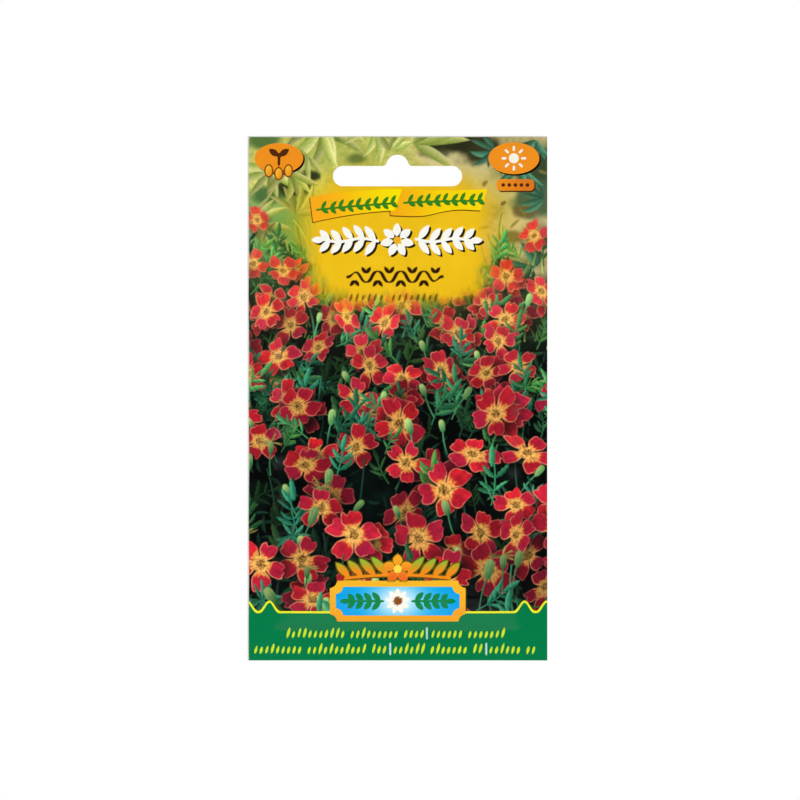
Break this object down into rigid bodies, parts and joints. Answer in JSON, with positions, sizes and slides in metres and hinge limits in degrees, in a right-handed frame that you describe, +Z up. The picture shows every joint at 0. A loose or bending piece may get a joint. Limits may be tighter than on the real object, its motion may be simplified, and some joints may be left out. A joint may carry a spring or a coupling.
{
  "type": "seed packet",
  "caption": "Flat sealed paper sachet with a hang slot in its header, a printed picture of red and gold marigolds on the front, and loose seeds inside.",
  "frame": {"origin": "crown of the hang slot, where a peg carries the packet, midway between the two sheets", "axes": "+Z up to the packet's top edge, the printed front faces -Y, +X to the right of someone facing the front"},
  "size_m": [0.08, 0.0048, 0.14],
  "materials": {
    "printed_front": "coated paper with a full colour print, semi-gloss",
    "printed_back": "coated paper, pale print, semi-gloss",
    "seed_coat": "dry, ribbed, dull black"
  },
  "bodies": {
    "root": {"front_sheet": "printed_front", "back_sheet": "printed_back", "seed_01": "seed_coat", "seed_02": "seed_coat", "seed_03": "seed_coat", "seed_04": "seed_coat", "seed_05": "seed_coat", "seed_06": "seed_coat", "seed_07": "seed_coat", "seed_08": "seed_coat", "seed_09": "seed_coat", "seed_10": "seed_coat", "seed_11": "seed_coat", "seed_12": "seed_coat", "seed_13": "seed_coat", "seed_14": "seed_coat", "seed_15": "seed_coat", "seed_16": "seed_coat", "seed_17": "seed_coat", "seed_18": "seed_coat", "seed_19": "seed_coat", "seed_20": "seed_coat", "seed_21": "seed_coat", "seed_22": "seed_coat", "seed_23": "seed_coat", "seed_24": "seed_coat", "seed_25": "seed_coat", "seed_26": "seed_coat", "seed_27": "seed_coat", "seed_28": "seed_coat", "seed_29": "seed_coat", "seed_30": "seed_coat", "seed_31": "seed_coat", "seed_32": "seed_coat", "seed_33": "seed_coat", "seed_34": "seed_coat", "seed_35": "seed_coat", "seed_36": "seed_coat", "seed_37": "seed_coat", "seed_38": "seed_coat", "seed_39": "seed_coat", "seed_40": "seed_coat", "seed_41": "seed_coat", "seed_42": "seed_coat", "seed_43": "seed_coat", "seed_44": "seed_coat", "seed_45": "seed_coat", "seed_46": "seed_coat", "seed_47": "seed_coat", "seed_48": "seed_coat", "seed_49": "seed_coat", "seed_50": "seed_coat", "seed_51": "seed_coat", "seed_52": "seed_coat", "seed_53": "seed_coat", "seed_54": "seed_coat", "seed_55": "seed_coat", "seed_56": "seed_coat", "seed_57": "seed_coat", "seed_58": "seed_coat"}
  },
  "joints": []
}
